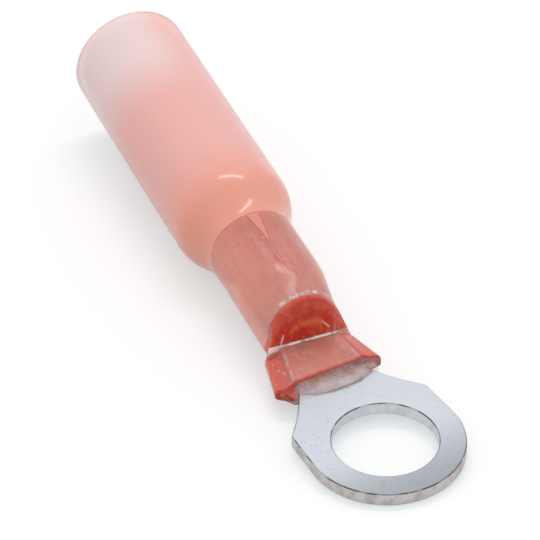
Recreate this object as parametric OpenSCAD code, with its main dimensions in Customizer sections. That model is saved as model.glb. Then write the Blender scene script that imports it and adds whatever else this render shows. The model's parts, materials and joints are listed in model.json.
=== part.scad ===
// Heat shrink ring terminal for a crimped wire end.
// The stamped and rolled terminal, the heat shrink sleeve and its hot melt lining are separate solids.
// The origin is the centre of the stud hole on the underside of the tongue, and the wire leaves along +X.

/* [Ring tongue] */
// Diameter of the stud hole
stud_hole_d = 5.3; // [3.2:0.1:6.4]
// Width of the metal around the stud hole
rim_w = 1.35; // [0.9:0.05:1.8]
// Thickness of the sheet that the terminal is stamped from
sheet_t = 0.75; // [0.5:0.05:1]
// Distance from the hole's centre back to the shoulders
shoulder_x = 2.5; // [2:0.1:3]
// How far each shoulder sits inside the ring's outer edge
shoulder_inset = 0.13; // [0:0.01:0.4]
// Radius of the rounded shoulder corners
shoulder_r = 0.25; // [0.1:0.05:0.4]
// Radius of the long hollow flare behind each shoulder
flare_r = 10.5; // [8:0.5:14]
// Radius of the fillet where the flare runs into the neck
fillet_r = 2.5; // [1.5:0.1:3.5]
// Distance from the hole's centre to the straight neck
neck_x = 6.5; // [6:0.1:7]
// Width of the neck
neck_w = 3.1; // [2.8:0.1:3.4]
// Sideways angle between the ring and the barrel, bent in the neck
neck_bend = 7.5; // [-9:0.5:9]
// Distance from the hole's centre to the bend
bend_x = 6.4; // [6:0.1:6.6]
// Length of neck over which the bend is spread
bend_l = 1; // [0.6:0.1:1.4]

/* [Barrel] */
// Distance from the hole's centre to the mouth of the barrel
mouth_x = 8.5; // [8.3:0.1:10]
// Length of the barrel
barrel_l = 6.9; // [4:0.1:9]
// Inner diameter of the barrel, where the bare wire goes
barrel_bore_d = 2; // [1.4:0.1:2.6]
// Length over which the neck curls up to meet the barrel
curl_l = 0.6; // [0.5:0.05:0.8]
// Radius of the rolled edges that meet along the seam
seam_r = 0.28; // [0.15:0.01:0.4]
// Width of the V notch at the wire end of the seam
notch_w = 0.9; // [0.4:0.1:1.4]
// Length of the V notch at the wire end of the seam
notch_l = 1; // [0.4:0.1:2]
// Size of the chamfer that leads the wire in
lead_in = 0.3; // [0.1:0.05:0.5]

/* [Heat shrink sleeve] */
// Outer diameter of the sleeve at its open end
sleeve_od = 6.4; // [5.8:0.1:8]
// Length of the sleeve from its pressed edge to its open end
sleeve_l = 28; // [22:0.1:36]
// Wall of the sleeve where it is still expanded
open_wall = 0.35; // [0.2:0.05:0.5]
// Wall of the sleeve where it has shrunk onto the barrel
shrunk_wall = 0.4; // [0.3:0.05:0.6]
// Wall of the sleeve where it is pressed flat
flat_wall = 0.25; // [0.2:0.05:0.4]
// How far the middle of the pressed end lies above the middle of the sheet
flat_lift = 0.12; // [0:0.01:0.12]
// Length of the pressed flat end on the tongue
flat_l = 2.75; // [2:0.05:3]
// Width of the pressed end along its front edge
flat_front_w = 5.6; // [5:0.1:6.6]
// Width of the pressed end along its crease
flat_crease_w = 4.7; // [4.4:0.1:5.4]
// How far the middle of the front edge bows ahead of its ends
front_bow = 0.55; // [0:0.05:0.8]
// Length of the slope down to the pressed crease
crease_w = 0.3; // [0.1:0.05:0.5]
// Depth of the pressed crease
crease_dip = 0.1; // [0:0.01:0.12]
// Length of the steep ramp from the crease up to the round neck
ramp_l = 0.45; // [0.4:0.05:0.8]
// Distance from the top of the ramp to the mouth of the barrel
mouth_gap = 0.25; // [0.2:0.05:0.5]
// How much the upper side of the neck narrows toward the mouth
neck_taper = 0.32; // [0:0.01:0.36]
// Length of neck over which it narrows
taper_l = 3.2; // [1:0.1:4.8]
// Length of the swell from the neck to the open tube
swell_l = 3.4; // [2:0.1:6]
// How far the barrel reaches into the swell
barrel_reach = 0.5; // [0.2:0.1:1.5]

/* [Hot melt lining] */
// Thickness of the lining in the open tube
lining_t = 0.25; // [0.15:0.05:0.35]
// Thickness of the lining round the barrel
neck_lining_t = 0.2; // [0.15:0.05:0.5]
// Thickness of the lining on each face of the tongue
flat_lining_t = 0.25; // [0.15:0.05:0.4]
// How far the lining is squeezed out onto the tongue
squeeze_l = 0.8; // [0.3:0.05:0.9]
// Thickness of the squeezed out lip
squeeze_t = 0.2; // [0.15:0.05:0.2]

/* [Smoothness] */
// Segments round a full circle
segments = 96; // [48:8:128]
// Segments round each section of the pressed end
loft_sides = 48; // [32:4:72]
// Steps along each curved stretch
steps = 8; // [5:1:12]

/* [Hidden] */
$fn = segments;

ring_r = stud_hole_d / 2 + rim_w;
shoulder_y = ring_r - shoulder_inset;
neck_half = neck_w / 2;

bore_r = barrel_bore_d / 2;
barrel_r = bore_r + sheet_t;
mean_r = bore_r + sheet_t / 2;
axis_z = barrel_r;
barrel_end_x = mouth_x + barrel_l;
curl_x = mouth_x - curl_l;
curl_angle = neck_half / mean_r * 180 / PI;

neck_cover = shrunk_wall + neck_lining_t;
neck_r = barrel_r + neck_cover;
open_r = sleeve_od / 2;
neck_front_x = mouth_x - mouth_gap;
crease_x = neck_front_x - ramp_l;
front_x = crease_x - flat_l;
open_end_x = front_x + sleeve_l;
taper_x = neck_front_x + taper_l;
swell_x = barrel_end_x - barrel_reach;
open_x = swell_x + swell_l;

flat_mid_z = sheet_t / 2 + flat_lift;
flat_half_t = sheet_t / 2 + flat_wall + flat_lining_t;
// Power of the rounded rectangle that the pressed section follows
flat_power = 4;
// Length by which neighbouring stretches of one solid reach into each other
join = 0.3;
// Amount by which a faceted stretch stays inside the round one that it joins
tuck = 0.01;
// Length that a cut runs past the solid that it cuts
past = 1;

function mix(a, b, share) = a + (b - a) * share;
function clamp(value) = min(max(value, 0), 1);
function smooth(share) = share * share * (3 - 2 * share);
function signed_power(value, power) = sign(value) * pow(abs(value), power);

// Section of the flat band, with rounded faces, from +Y over +Z. Its sides lie behind its middle by bow.
function flat_section(x, half_w, half_t, bow) = [
    for (i = [0 : loft_sides - 1])
        let (angle = 360 * (i + 0.5) / loft_sides,
             across = signed_power(cos(angle), 2 / flat_power),
             up = signed_power(sin(angle), 2 / flat_power))
        [x + bow * across * across, half_w * across, flat_mid_z + half_t * up]
];

// Section of the pressed end at a place along the flat band, inside the sleeve's outside by flat_in
function band_section(x, flat_in) =
    let (share = (crease_x - x) / flat_l, width = mix(flat_crease_w, flat_front_w, share))
    flat_section(x, width / 2 - flat_in, flat_half_t - flat_in, front_bow * share);

// Section between the crease and the round neck, where rise is 0 in the crease and 1 on the neck.
// taper is the share of the narrowing of the neck's upper side.
function rising_section(x, flat_in, neck_in, rise, taper) = [
    for (i = [0 : loft_sides - 1])
        let (angle = 360 * (i + 0.5) / loft_sides,
             up = signed_power(sin(angle), 2 / flat_power),
             flat_y = (flat_crease_w / 2 - flat_in) * signed_power(cos(angle), 2 / flat_power),
             flat_z = flat_mid_z + (flat_half_t - flat_in) * up - crease_dip * clamp(up),
             narrow = neck_taper * (1 - neck_in / neck_cover) * taper * smooth(clamp(1 + 2 * sin(angle))),
             round_r = neck_r - neck_in - tuck - narrow)
        // The top of an inner surface starts to rise behind that of the outside, by the wall's thickness
        [x + flat_in * clamp(up) * sqrt(1 - rise * rise),
         mix(flat_y, round_r * cos(angle), rise),
         mix(flat_z, axis_z + round_r * sin(angle), rise)]
];

// Stations of the pressed end: the flat band, the pressed crease, the ramp as a quarter ellipse and the
// narrowed stretch of neck. flat_in and neck_in are how far this surface lies inside the outside of the
// sleeve, and lead is how far it runs out ahead of the front edge.
function pressed_stations(flat_in, neck_in, lead) = concat(
    lead > 0 ? [[for (point = band_section(front_x, flat_in)) point - [lead, 0, 0]]] : [],
    [for (k = [0 : 2]) band_section(mix(front_x, crease_x - crease_w, k / 2), flat_in)],
    [for (k = [0 : steps])
        let (turn = 90 * k / steps)
        rising_section(mix(neck_front_x, crease_x, cos(turn)), flat_in, neck_in, sin(turn), 1)],
    [for (reach = [0, join]) rising_section(taper_x + reach, flat_in, neck_in, 1, 0)]);

// Closed solid through a list of sections that all have the same even number of points.
// Each end is closed by strips between the points that face each other across the section.
module loft(sections) {
    sides = len(sections[0]);
    last = len(sections) - 1;
    far = last * sides;
    polyhedron(
        points = [for (section = sections) each section],
        faces = concat(
            [for (i = [0 : sides / 2 - 2]) [i, i + 1, sides - 2 - i, sides - 1 - i]],
            [for (s = [0 : last - 1], i = [0 : sides - 1])
                let (j = (i + 1) % sides)
                each [[s * sides + i, (s + 1) * sides + i, (s + 1) * sides + j],
                      [s * sides + i, (s + 1) * sides + j, s * sides + j]]],
            [for (i = [0 : sides / 2 - 2])
                [far + sides - 1 - i, far + sides - 2 - i, far + i + 1, far + i]]),
        convexity = 6);
}

// Turns a profile of [radius, distance along X] round the barrel's axis
module turned(profile) {
    translate([0, 0, axis_z]) rotate([0, 90, 0]) rotate_extrude(convexity = 4) polygon(profile);
}

// Line of the round stretch from the neck to the open tube, inside the sleeve's outside
// by neck_in on the neck and by open_in on the open tube
function swell_line(neck_in, open_in) = [
    for (k = [0 : 2 * steps])
        let (share = k / (2 * steps))
        [mix(neck_r - neck_in, open_r - open_in, smooth(share)), mix(swell_x, open_x, share)]];

// Solid bounded by one surface of the sleeve, from the pressed end to the open end
module envelope(flat_in, neck_in, open_in, lead, end_x) {
    union() {
        turned(concat([[0, taper_x], [neck_r - neck_in, taper_x]], swell_line(neck_in, open_in),
                      [[open_r - open_in, end_x], [0, end_x]]));
        loft(pressed_stations(flat_in, neck_in, lead));
    }
}

// Swings what lies behind the bend over to its side
module behind_bend() {
    translate([bend_x, 0, 0]) rotate([0, 0, -neck_bend]) translate([-bend_x, 0, 0]) children();
}

// Place of an outline point once the neck is bent
function bent(point) =
    let (angle = -neck_bend * smooth(clamp((point[0] - bend_x) / bend_l + 0.5)), x = point[0] - bend_x)
    [bend_x + x * cos(angle) - point[1] * sin(angle), x * sin(angle) + point[1] * cos(angle)];

// Outline of the flat tongue: ring, shoulders, hollow flares and neck
module tongue_outline() {
    half = half_outline();
    union() {
        circle(r = ring_r);
        polygon([for (point = concat(half, [for (k = [len(half) - 1 : -1 : 0]) [half[k][0], -half[k][1]]]))
            bent(point)]);
    }
}

// Angle of the direction from one point to another
function heading(from, to) = atan2(to[1] - from[1], to[0] - from[0]);

// Points of an arc, from one angle to another
function arc(centre, radius, from, to) = [
    for (k = [0 : steps])
        let (angle = mix(from, to, k / steps))
        centre + radius * [cos(angle), sin(angle)]];

// Points of the shoulder, flare, fillet and neck on the +Y side, back to where the neck starts to curl
function half_outline() =
    let (shoulder = [shoulder_x, shoulder_y],
         fillet_centre = [neck_x, neck_half + fillet_r],
         // The flare's circle passes through the shoulder and holds the fillet's circle, touching it
         reach = norm(fillet_centre - shoulder),
         toward = (fillet_centre - shoulder) / reach,
         along = (pow(flare_r, 2) - pow(flare_r - fillet_r, 2) + pow(reach, 2)) / (2 * reach),
         across = sqrt(pow(flare_r, 2) - pow(along, 2)),
         flare_centre = shoulder + along * toward + across * [-toward[1], toward[0]],
         flare_end = heading(flare_centre, fillet_centre),
         // Outward directions of the straight side and of the flare where they meet
         side = [shoulder_inset, shoulder_x] / norm([shoulder_inset, shoulder_x]),
         flare = (flare_centre - shoulder) / flare_r,
         spread = side[0] * flare[1] - side[1] * flare[0],
         corner = shoulder - shoulder_r * [flare[1] - side[1], side[0] - flare[0]] / spread,
         skip = shoulder_r * tan(acos(side * flare) / 2) / flare_r * 180 / PI)
    concat(
        [[0, ring_r]],
        arc(corner, shoulder_r, atan2(side[1], side[0]), atan2(flare[1], flare[0])),
        arc(flare_centre, flare_r, heading(flare_centre, shoulder) + skip, flare_end),
        arc(fillet_centre, fillet_r, flare_end, -90),
        [for (k = [1 : steps]) [mix(neck_x, curl_x, k / steps), neck_half]]);

// Section of the neck where it has curled by a share of the barrel's curve
function curl_section(x, share) =
    let (bend = max(share, tuck), radius = mean_r / bend, sweep = curl_angle * bend,
         half_t = sheet_t / 2 - tuck, centre_z = radius + sheet_t / 2)
    concat(
        [for (k = [-steps : steps])
            let (angle = -sweep * k / steps)
            [x, (radius - half_t) * sin(angle), centre_z - (radius - half_t) * cos(angle)]],
        [for (k = [-steps : steps])
            let (angle = sweep * k / steps)
            [x, (radius + half_t) * sin(angle), centre_z - (radius + half_t) * cos(angle)]]);

// The neck where it curls from the flat sheet into the barrel
module neck_curl() {
    loft(concat(
        [curl_section(curl_x - join, 0)],
        [for (k = [0 : steps])
            let (share = k / steps)
            curl_section(mix(curl_x, mouth_x - tuck, share), share * share)],
        [curl_section(mouth_x + join, 1)]));
}

// Groove between the two rolled edges of the seam, and the V notch at the wire end
module seam() {
    top_z = axis_z + barrel_r;
    difference() {
        translate([mouth_x - past, -seam_r, top_z - seam_r])
            cube([barrel_l + 2 * past, 2 * seam_r, 2 * seam_r]);
        for (hand = [1, -1]) translate([mouth_x - 2 * past, hand * seam_r, top_z - seam_r])
            rotate([0, 90, 0]) cylinder(r = seam_r, h = barrel_l + 4 * past, $fn = 4 * steps);
    }
    notch_half = notch_w / 2 * (1 + past / notch_l);
    notch_end_x = barrel_end_x + past;
    translate([0, 0, axis_z]) linear_extrude(2 * barrel_r)
        polygon([[barrel_end_x - notch_l, 0], [notch_end_x, notch_half], [notch_end_x, -notch_half]]);
}

// The rolled barrel with its seam up
module barrel() {
    difference() {
        turned([[bore_r, mouth_x], [barrel_r, mouth_x], [barrel_r, barrel_end_x],
                [bore_r + lead_in, barrel_end_x], [bore_r, barrel_end_x - lead_in]]);
        seam();
    }
}

// Stamped ring tongue and rolled barrel, one piece of tinned copper sheet
module terminal() {
    color([0.78, 0.79, 0.82]) union() {
        difference() {
            linear_extrude(sheet_t) tongue_outline();
            translate([0, 0, -past]) cylinder(d = stud_hole_d, h = sheet_t + 2 * past);
        }
        behind_bend() {
            neck_curl();
            barrel();
        }
    }
}

// Outer heat shrink sleeve: open tube, swell, shrunk neck and pressed end
module sleeve() {
    color([0.93, 0.55, 0.5, 0.7]) behind_bend() difference() {
        envelope(0, 0, 0, 0, open_end_x);
        envelope(flat_wall, shrunk_wall, open_wall, past, open_end_x + past);
    }
}

// Lip of the lining that is squeezed out over the tongue, with its front edge rounded off
module lip() {
    half_w = flat_front_w / 2 - flat_wall - flat_lining_t;
    half_t = sheet_t / 2 + squeeze_t;
    loft(concat(
        [for (k = [0 : steps])
            let (turn = 90 * k / steps,
                 pull = squeeze_t * (1 - sin(turn)),
                 x = front_x - squeeze_l + squeeze_t * (1 - cos(turn)))
            flat_section(x, half_w - pull, half_t - pull, front_bow)],
        [flat_section(front_x + join, half_w, half_t, front_bow)]));
}

// Hot melt lining: it coats the sleeve, fills the pressed end and seals the mouth of the barrel
module lining() {
    color([0.96, 0.82, 0.76, 0.6]) difference() {
        behind_bend() difference() {
            union() {
                envelope(flat_wall, shrunk_wall, open_wall, 0, open_end_x);
                lip();
            }
            turned(concat([[0, mouth_x], [barrel_r, mouth_x]], swell_line(neck_cover, open_wall + lining_t),
                          [[open_r - open_wall - lining_t, open_end_x + past], [0, open_end_x + past]]));
            neck_curl();
        }
        linear_extrude(sheet_t) tongue_outline();
    }
}

terminal();
sleeve();
lining();
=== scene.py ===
"""Heat shrink ring terminal: a stamped ring and rolled barrel in a translucent sleeve lined with hot melt."""
import json
import math
from collections import namedtuple

import bmesh
import bpy
from bpy.props import FloatProperty, FloatVectorProperty, IntProperty, PointerProperty
from mathutils import Matrix, Vector, noise


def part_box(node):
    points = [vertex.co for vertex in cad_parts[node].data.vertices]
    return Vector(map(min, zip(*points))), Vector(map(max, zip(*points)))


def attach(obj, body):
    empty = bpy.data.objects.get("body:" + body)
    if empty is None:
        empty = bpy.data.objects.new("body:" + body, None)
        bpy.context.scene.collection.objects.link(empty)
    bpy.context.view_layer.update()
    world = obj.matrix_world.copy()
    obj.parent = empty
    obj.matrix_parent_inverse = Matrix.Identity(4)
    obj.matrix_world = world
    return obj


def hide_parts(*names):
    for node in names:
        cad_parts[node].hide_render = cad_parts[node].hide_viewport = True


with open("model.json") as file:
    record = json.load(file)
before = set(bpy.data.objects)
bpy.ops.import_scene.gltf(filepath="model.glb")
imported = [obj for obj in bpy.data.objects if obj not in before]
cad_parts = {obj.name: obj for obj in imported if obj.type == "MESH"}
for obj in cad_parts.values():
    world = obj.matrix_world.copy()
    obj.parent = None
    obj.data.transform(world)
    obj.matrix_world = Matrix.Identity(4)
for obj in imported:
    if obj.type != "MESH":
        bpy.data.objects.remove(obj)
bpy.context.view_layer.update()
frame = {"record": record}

bl_info = {
    "name": "Heat Shrink Ring Terminal",
    "version": (1, 0, 0),
    "blender": (4, 5, 0),
    "location": "View3D > Sidebar > Terminal",
    "description": "Builds a ring terminal with a lined heat shrink sleeve on a plain stage",
    "category": "Object",
}

MM = 0.001
MOUNTS = {mount["name"]: mount for mount in frame["record"]["mounts"]}
STUD_HOLE_R = MOUNTS["stud_hole"]["dims"]["r_mm"] * MM
SHEET_T = MOUNTS["stud_hole"]["dims"]["length_mm"] * MM
RING_R = -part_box("terminal")[0][0]
BORE_R = MOUNTS["wire_barrel"]["dims"]["r_mm"] * MM
MEAN_R = BORE_R + SHEET_T / 2
AXIS_Z = MOUNTS["wire_barrel"]["pos_m"][2]
ENTRY_R = MOUNTS["wire_entry"]["dims"]["r_mm"] * MM

# The barrel's axis is turned about the bend in the neck. Lengths along it count as if the part were straight.
SET_ANGLE = math.atan2(MOUNTS["wire_barrel"]["axis"][1], MOUNTS["wire_barrel"]["axis"][0])
BEND_X = MOUNTS["wire_barrel"]["pos_m"][0] - MOUNTS["wire_barrel"]["pos_m"][1] / math.tan(SET_ANGLE)


def straight_end(mount, side):
    """Place of one end of a bore along the straight part: side is -1 for the front end, 1 for the back end."""
    x, y, _ = MOUNTS[mount]["pos_m"]
    return BEND_X + math.hypot(x - BEND_X, y) + side * MOUNTS[mount]["dims"]["length_mm"] * MM / 2


MOUTH_X = straight_end("wire_barrel", -1)
OPEN_END_X = straight_end("wire_entry", 1)

# Station along the sleeve. flat is 1 at the front edge and 0 at the crease, dip is 1 in the crease, rise goes
# from 0 on the flat to 1 on the round neck, taper is 1 where the neck is narrowest and swell is 1 on the tube.
Station = namedtuple("Station", "x flat dip rise taper swell")


def length_prop(name, text, value):
    """A length property in metres."""
    return FloatProperty(name=name, description=text, default=value, unit="LENGTH", precision=5)


def colour_prop(name, text, value):
    """A colour property."""
    return FloatVectorProperty(name=name, description=text, default=value, subtype="COLOR", size=3, min=0, max=1)


class TerminalSizes(bpy.types.PropertyGroup):
    """Sizes and colours of the stamped and rolled metal."""

    shoulder_x: length_prop("Shoulder distance", "From the hole's centre back to the shoulders", 2.5 * MM)
    shoulder_inset: length_prop("Shoulder inset", "How far the shoulders sit inside the ring's width", 0.13 * MM)
    shoulder_r: length_prop("Shoulder radius", "Rounding of the shoulder corners", 0.25 * MM)
    flare_r: length_prop("Flare radius", "Radius of the hollow flare behind each shoulder", 10.5 * MM)
    fillet_r: length_prop("Fillet radius", "Radius where the flare runs into the neck", 2.5 * MM)
    neck_x: length_prop("Neck distance", "From the hole's centre to the straight neck", 6.5 * MM)
    neck_half: length_prop("Neck half width", "Half the width of the neck", 1.55 * MM)
    bend_l: length_prop("Bend length", "Length of neck over which the sideways bend is spread", 1.0 * MM)
    curl_l: length_prop("Curl length", "Length over which the neck curls up into the barrel", 0.6 * MM)
    lead_in: length_prop("Lead-in", "Chamfer that leads the wire into the barrel", 0.3 * MM)
    wing_fillet: length_prop("Wing fillet", "Inner corner between the neck and the barrel's mouth", 0.4 * MM)
    edge_r: length_prop("Edge rounding", "Rounding of the stamped edges", 0.09 * MM)
    seam_gap: length_prop("Seam gap", "Gap between the rolled edges at the top of the barrel", 0.03 * MM)
    notch_l: length_prop("Notch length", "Length of the V notch at the wire end", 2.6 * MM)
    notch_w: length_prop("Notch width", "Width of the V notch at the wire end", 0.7 * MM)
    colour: colour_prop("Plating colour", "Colour of the tin plating", (0.56, 0.59, 0.64))
    # Painted shade: the share of the plating's colour left at the ring's front tip, which is drawn darker.
    tip_shade: FloatProperty(name="Shaded tip", description="Share of the plating's colour left at the ring's tip", default=0.6)
    cut_colour: colour_prop("Cut edge colour", "Colour of the stamped side walls", (0.58, 0.55, 0.54))
    bored_colour: colour_prop("Hole wall colour", "Colour of the wall of the stud hole", (0.66, 0.68, 0.70))
    burr_colour: colour_prop("Burr colour", "Colour of the dark line along the upper stamped edge", (0.10, 0.08, 0.07))
    tint: colour_prop("Tint under the film", "What the film leaves of the light on the metal", (1.0, 0.84, 0.84))
    stain: colour_prop("Stain under the film", "The same where flux has stained the metal", (1.0, 0.46, 0.36))


class SleeveSizes(bpy.types.PropertyGroup):
    """Sizes and colours of the heat shrink sleeve."""

    mouth_gap: length_prop("Mouth gap", "From the top of the ramp to the mouth of the barrel", 0.25 * MM)
    ramp_l: length_prop("Ramp length", "Steep ramp from the crease up to the neck", 0.45 * MM)
    flat_l: length_prop("Flat length", "Length of the pressed end", 2.75 * MM)
    crease_w: length_prop("Crease slope", "Length of the slope down to the crease", 0.3 * MM)
    crease_dip: length_prop("Crease depth", "Depth of the crease", 0.1 * MM)
    front_half: length_prop("Front half width", "Half the width of the pressed front edge", 2.85 * MM)
    crease_half: length_prop("Crease half width", "Half the width along the crease", 2.35 * MM)
    front_draw: length_prop("Front draw", "How far the front edge has drawn back along the middle", 0.25 * MM)
    front_skew: FloatProperty(name="Front skew", description="Slope of the front edge across the part", default=0.13)
    flat_lift: length_prop("Flat lift", "How far the middle of the pressed end lies above that of the sheet", 0.12 * MM)
    flat_half_t: length_prop("Flat half thickness", "Half the thickness of the pressed end", 0.875 * MM)
    ridge_front: length_prop("Ridge at the front", "From the middle to each ridge, at the front edge", 1.95 * MM)
    ridge_back: length_prop("Ridge at the crease", "From the middle to each ridge, at the crease", 1.5 * MM)
    ridge_h: length_prop("Ridge height", "Height of the ridges over the edges of the metal", 0.05 * MM)
    left_drop: length_prop("Left flap drop", "How far the flap on the +Y side is pressed down", 0.42 * MM)
    left_rise: length_prop("Left flap rise", "How far the flap on the +Y side is pressed up", 0.32 * MM)
    left_lift: length_prop("Left lift", "How far the underside on the +Y side is pressed up under the metal", 0.2 * MM)
    right_drop: length_prop("Right flap drop", "How far the flap on the -Y side is pressed down", 0.15 * MM)
    right_rise: length_prop("Right flap rise", "How far the flap on the -Y side is pressed up", 0.6 * MM)
    right_spread: FloatProperty(name="Right spread", description="Extra width of the right flap", default=0.085)
    corner: length_prop("Front corner", "How far the front edge's +Y corner is rounded back", 0.4 * MM)
    flat_wall: length_prop("Flat wall", "Wall of the sleeve where it is pressed", 0.25 * MM)
    rim_share: FloatProperty(name="Rim share", description="Share of the wall left at the front edge", default=0.55)
    neck_r: length_prop("Neck radius", "Outer radius over the barrel", 2.35 * MM)
    neck_wall: length_prop("Neck wall", "Wall of the sleeve over the barrel", 0.4 * MM)
    neck_cover: length_prop("Neck cover", "Wall of the sleeve and the lining over the barrel", 0.6 * MM)
    neck_taper: length_prop("Neck taper", "How much the neck's upper side narrows toward the mouth", 0.43 * MM)
    taper_l: length_prop("Taper length", "Length of neck over which it narrows", 3.2 * MM)
    open_r: length_prop("Open radius", "Outer radius of the open tube", 3.2 * MM)
    open_wall: length_prop("Open wall", "Wall of the sleeve at its open end", 0.35 * MM)
    swell_x: length_prop("Swell start", "Where the neck starts to swell", 14.9 * MM)
    swell_l: length_prop("Swell length", "Length of the swell", 3.4 * MM)
    lump: length_prop("Unevenness", "How far the shrunk film strays from its plain form", 0.03 * MM)
    sides: IntProperty(name="Sides", description="Points round each section", default=160, min=24, max=256)
    colour: colour_prop("Film colour", "Colour of the film over the barrel", (0.98, 0.32, 0.25))
    # Partly the melt's own deep red and partly painted shade from the hollow of the barrel's mouth behind it.
    deep: colour_prop("Deep colour", "Colour of the film ahead of the barrel's mouth", (0.66, 0.034, 0.014))
    amber: colour_prop("Amber colour", "Colour of the lighter patches ahead of the mouth", (0.86, 0.17, 0.05))
    # Partly the film seen end-on at its edge and partly painted shade under the front edge.
    rim: colour_prop("Rim colour", "Colour of the film along its front edge", (0.50, 0.03, 0.02))
    flap: colour_prop("Flap colour", "Colour of the film beside the metal", (0.68, 0.11, 0.07))
    shoulder: colour_prop("Shoulder colour", "Colour of the film on the swell", (0.98, 0.385, 0.29))
    tube: colour_prop("Tube colour", "Colour of the film on the open tube", (0.94, 0.47, 0.43))
    # Partly the film's own whitish tone where it is still expanded, partly painted light from the bright backdrop
    # through the hollow end.
    milky_backlit: colour_prop("Milky colour", "Colour of the whitish film near the open end", (0.88, 0.66, 0.66))
    # Used both for the whitening along the crease and for the painted highlights at the barrel's mouth and beside the
    # dome.
    white: colour_prop("Crease colour", "Colour of the film where folding has whitened it", (1.0, 0.86, 0.84))


class LiningSizes(bpy.types.PropertyGroup):
    """Sizes and colours of the hot melt lining."""

    gap: length_prop("Gap", "Clearance between the lining and the sleeve", 0.01 * MM)
    flat_t: length_prop("Flat thickness", "Thickness of the lining on the tongue", 0.25 * MM)
    squeeze_l: length_prop("Lip length", "How far the lining is squeezed out ahead of the sleeve", 0.8 * MM)
    squeeze_t: length_prop("Lip thickness", "Thickness of the squeezed out lip", 0.2 * MM)
    lip_half: length_prop("Lip half width", "Half the width of the squeezed out lip", 2.4 * MM)
    lip_shift: length_prop("Lip shift", "How far the lip's tip lies to the -Y side", 0.35 * MM)
    lip_curve: FloatProperty(name="Lip curve", description="Bow of the lip's front, per millimetre", default=0.13)
    wave: length_prop("Lip waves", "Height of the waves on the lip", 0.07 * MM)
    bubbles: FloatProperty(name="Bubbles", description="Bubbles on a square millimetre of the lip", default=9.0)
    bubble_small: length_prop("Smallest bubble", "Radius of the smallest bubble", 0.035 * MM)
    bubble_large: length_prop("Largest bubble", "Radius of the largest bubble", 0.11 * MM)
    colour: colour_prop("Melt colour", "Colour of the hot melt", (0.80, 0.60, 0.60))
    scorched: colour_prop("Scorched colour", "Colour of the melt where heat has browned it", (0.55, 0.36, 0.16))


class StageSizes(bpy.types.PropertyGroup):
    """Camera, floor and lights."""

    azimuth: FloatProperty(name="Azimuth", description="Turn of the view about Z", default=29.843)
    elevation: FloatProperty(name="Elevation", description="Height of the view above the horizon", default=39.265)
    roll: FloatProperty(name="Roll", description="Roll of the camera", default=0.118)
    distance: length_prop("Distance", "From the camera to its target", 183.537 * MM)
    target_x: length_prop("Target X", "Where the camera looks, along X", 14.921 * MM)
    target_y: length_prop("Target Y", "Where the camera looks, along Y", -2.075 * MM)
    lens: FloatProperty(name="Lens", description="Focal length in millimetres", default=234.82)
    floor_drop: length_prop("Floor drop", "Depth of the floor under the stud hole's centre", 0.29 * MM)
    floor_slope_x: FloatProperty(name="Floor slope X", description="Rise of the floor along X", default=-0.0637)
    floor_slope_y: FloatProperty(name="Floor slope Y", description="Rise of the floor along Y", default=0.0191)
    floor_colour: colour_prop("Floor colour", "Colour of the floor", (0.58, 0.52, 0.51))
    floor_glow: colour_prop("Floor glow", "What the floor adds to its own colour in the camera", (0.398, 0.461, 0.471))
    sky: FloatProperty(name="Sky light", description="Strength of the light from all round", default=0.92)
    key: FloatProperty(name="Key lamp", description="Power of the main lamp in watts", default=0.08)


def mix(a, b, share):
    """Value a share of the way from a to b."""
    return a + (b - a) * share


def clamp(value):
    """Value held between 0 and 1."""
    return min(max(value, 0.0), 1.0)


def smooth_step(low, high, value):
    """0 below low, 1 above high, with a smooth rise between."""
    share = clamp((value - low) / (high - low))
    return share * share * (3 - 2 * share)


def signed_power(value, power):
    """Power of a value's size, with the value's sign."""
    return math.copysign(abs(value) ** power, value)


def bent(point, share=1.0):
    """Place of a point of the straight part once the neck is bent, in full for what lies behind the bend."""
    x, y = point.x - BEND_X, point.y
    cos, sin = math.cos(SET_ANGLE * share), math.sin(SET_ANGLE * share)
    return Vector((BEND_X + x * cos - y * sin, x * sin + y * cos, point.z))


def collection_link(obj):
    """Puts an object into the scene's collection."""
    bpy.context.scene.collection.objects.link(obj)
    return obj


def write_values(mesh, name, kind, values):
    """Stores one value or vector for each point of a mesh."""
    field = "vector" if kind == "FLOAT_VECTOR" else "value"
    flat = [part for value in values for part in value] if field == "vector" else values
    mesh.attributes.new(name, kind, "POINT").data.foreach_set(field, flat)


def mesh_object(name, verts, faces, material):
    """New smooth mesh object at the origin, with normals that point outwards."""
    mesh = bpy.data.meshes.new(name)
    mesh.from_pydata([tuple(v) for v in verts], [], faces)
    bm = bmesh.new()
    bm.from_mesh(mesh)
    bmesh.ops.recalc_face_normals(bm, faces=bm.faces)
    bm.to_mesh(mesh)
    bm.free()
    mesh.polygons.foreach_set("use_smooth", [True] * len(mesh.polygons))
    mesh.materials.append(material)
    return collection_link(bpy.data.objects.new(name, mesh))


def ring_faces(rings, sides, closed):
    """Quads between neighbouring rings, and from the last ring to the first if closed."""
    faces = []
    for r in range(rings if closed else rings - 1):
        a, b = r * sides, ((r + 1) % rings) * sides
        for i in range(sides):
            j = (i + 1) % sides
            faces.append((a + i, b + i, b + j, a + j))
    return faces


def finish_piece(obj, slot, *replaced):
    """Rides a piece on the part and hides the nodes that it stands for. The slot is not used."""
    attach(obj, "root")
    if replaced:
        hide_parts(*replaced)
    return obj


# Materials


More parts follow.
